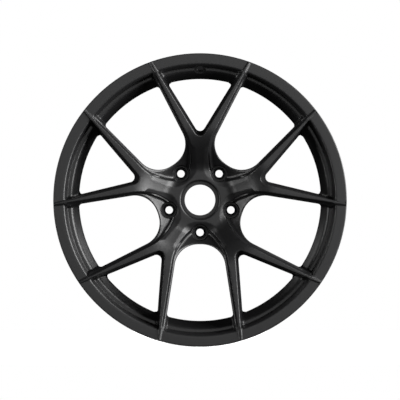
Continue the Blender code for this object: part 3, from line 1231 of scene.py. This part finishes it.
def finish_mesh(obj, material, sharp):
    """Gives the object its material, and smooth shading up to an angle in degrees."""
    obj.data.materials.clear()
    obj.data.materials.append(material)
    obj.data.shade_smooth()
    obj.data.set_sharp_from_angle(angle=math.radians(sharp))


def drill_valve_hole(forging):
    """Cuts the inclined valve hole, with a chamfer and a spot face 2 mm below the drill's origin."""
    path = [
        (VALVE_SPOT_R, 45.0),
        (VALVE_SPOT_R, -2.0),
        (VALVE_HOLE_R + 0.6, -2.0),
        (VALVE_HOLE_R, -2.6),
        (VALVE_HOLE_R, -40.0),
    ]
    drill = turned_mesh("valve_drill", path, steps=48, capped=True)
    cutter = link(bpy.data.objects.new("valve_drill", drill))
    cutter.location = (0, -VALVE_Z * MM, VALVE_R * MM)
    cutter.rotation_euler = (VALVE_TILT, 0, 0)
    boolean = forging.modifiers.new("valve hole", "BOOLEAN")
    boolean.operation = "DIFFERENCE"
    boolean.solver = "EXACT"
    boolean.object = cutter
    bpy.context.view_layer.update()
    graph = bpy.context.evaluated_depsgraph_get()
    cut = bpy.data.meshes.new_from_object(forging.evaluated_get(graph))
    forging.modifiers.clear()
    forging.data = cut
    bpy.data.objects.remove(cutter)


def make_forging(paint):
    forging = link(bpy.data.objects.new("forging", whole_wheel(build_sector())))
    drill_valve_hole(forging)
    finish_mesh(forging, paint, sharp=42)
    weights = forging.modifiers.new("even shading", "WEIGHTED_NORMAL")
    weights.keep_sharp = True
    weights.weight = 60
    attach(forging, "root")
    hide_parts("forged_wheel")


def seat_path():
    """Section of a pressed-in seat: chamfered head, shank, hole and 60 degree cone."""
    corners = [
        (10.7, 67.2, 0),
        (11.5, 67.5, 0),
        (12.0, 67.0, 0.2),
        (12.0, 59.0, 0.3),
        (10.0, 59.0, 0.2),
        (10.0, 50.5, 0),
        (9.5, 50.0, 0),
        (7.4, 50.0, 0),
        (7.0, 50.4, 0),
        (7.0, 61.4, 0.3),
        (10.4, 67.2, 0.1),
    ]
    return rounded_path(corners, 2)


def make_bolt_seats(steel):
    for number in range(1, SPOKES + 1):
        low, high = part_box(f"lug_seat_{number}")
        middle = (low + high) / 2
        mesh = turned_mesh("bolt_seat", seat_path(), steps=64)
        mesh.transform(Matrix.Translation((middle.x, 0, middle.z)))
        piece = link(bpy.data.objects.new(f"bolt_seat_{number}", mesh))
        finish_mesh(piece, steel, sharp=35)
        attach(piece, "root")
        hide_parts(f"lug_seat_{number}")


# ---- studio


def make_camera():
    """A long lens on the wheel's axis, so that the lip's face keeps its true proportions."""
    view_width = 0.7462
    distance = 14.0
    sensor = 36.0
    data = bpy.data.cameras.new("camera")
    data.sensor_width = sensor
    data.lens = sensor * (distance - LIP_Z * MM) / view_width
    data.clip_end = 100.0
    camera = link(bpy.data.objects.new("camera", data))
    camera.location = (0, -distance, 0)
    camera.rotation_euler = (math.pi / 2, 0, 0)
    bpy.context.scene.camera = camera


def soft_light(name, place, size, power):
    """A rectangular light that faces the wheel's middle."""
    data = bpy.data.lights.new(name, "AREA")
    data.shape = "RECTANGLE"
    data.size, data.size_y = size
    data.energy = power
    light = link(bpy.data.objects.new(name, data))
    light.location = place
    light.rotation_euler = (-Vector(place)).to_track_quat("-Z", "Y").to_euler()


def make_lights():
    """Soft lights, with places and sizes in metres and powers in watts."""
    soft_light("right_softbox", (2.72, -1.27, 0.6), (2.5, 3.2), 335)
    soft_light("left_softbox", (-3.0, -1.3, 0.1), (1.1, 2.0), 50)
    soft_light("front_softbox", (0.2, -5.5, 0.5), (3.2, 3.2), 42)
    soft_light("back_right", (3.2, 2.6, 1.6), (1.5, 1.5), 16)
    soft_light("back_left", (-3.2, 2.6, 1.6), (1.5, 1.5), 10)


def make_world():
    """White to the camera, and a dim room for everything that the wheel mirrors."""
    world = bpy.data.worlds.new("studio")
    bpy.context.scene.world = world
    world.use_nodes = True
    tree = world.node_tree
    tree.nodes.clear()
    room = tree.nodes.new("ShaderNodeBackground")
    room.inputs["Color"].default_value = (1, 1, 1, 1)
    room.inputs["Strength"].default_value = 0.012
    page = tree.nodes.new("ShaderNodeBackground")
    page.inputs["Color"].default_value = (1, 1, 1, 1)
    path = tree.nodes.new("ShaderNodeLightPath")
    mix = tree.nodes.new("ShaderNodeMixShader")
    out = tree.nodes.new("ShaderNodeOutputWorld")
    tree.links.new(path.outputs["Is Camera Ray"], mix.inputs["Fac"])
    tree.links.new(room.outputs["Background"], mix.inputs[1])
    tree.links.new(page.outputs["Background"], mix.inputs[2])
    tree.links.new(mix.outputs["Shader"], out.inputs["Surface"])


def make_floor():
    """A pale round floor under the wheel, bright enough to meet the white of the room."""
    radius = 1.6
    gap = 0.0005
    work = bmesh.new()
    bmesh.ops.create_circle(work, cap_ends=True, segments=96, radius=radius)
    data = bpy.data.meshes.new("floor")
    work.to_mesh(data)
    work.free()
    floor = link(bpy.data.objects.new("floor", data))
    floor.location = (0, 0, cad_box[0].z - gap)
    material = bpy.data.materials.new("pale_floor")
    material.use_nodes = True
    shader = material.node_tree.nodes["Principled BSDF"]
    shader.inputs["Base Color"].default_value = (0.9, 0.9, 0.9, 1)
    shader.inputs["Roughness"].default_value = 0.8
    shader.inputs["Specular IOR Level"].default_value = 0.0
    shader.inputs["Emission Color"].default_value = (1, 1, 1, 1)
    shader.inputs["Emission Strength"].default_value = 0.9
    data.materials.append(material)
    floor.visible_glossy = False
    floor.visible_diffuse = False


def main():
    bpy.context.scene.view_settings.view_transform = "Standard"
    make_camera()
    make_world()
    make_lights()
    make_floor()
    make_forging(satin_black())
    make_bolt_seats(dark_steel())


main()
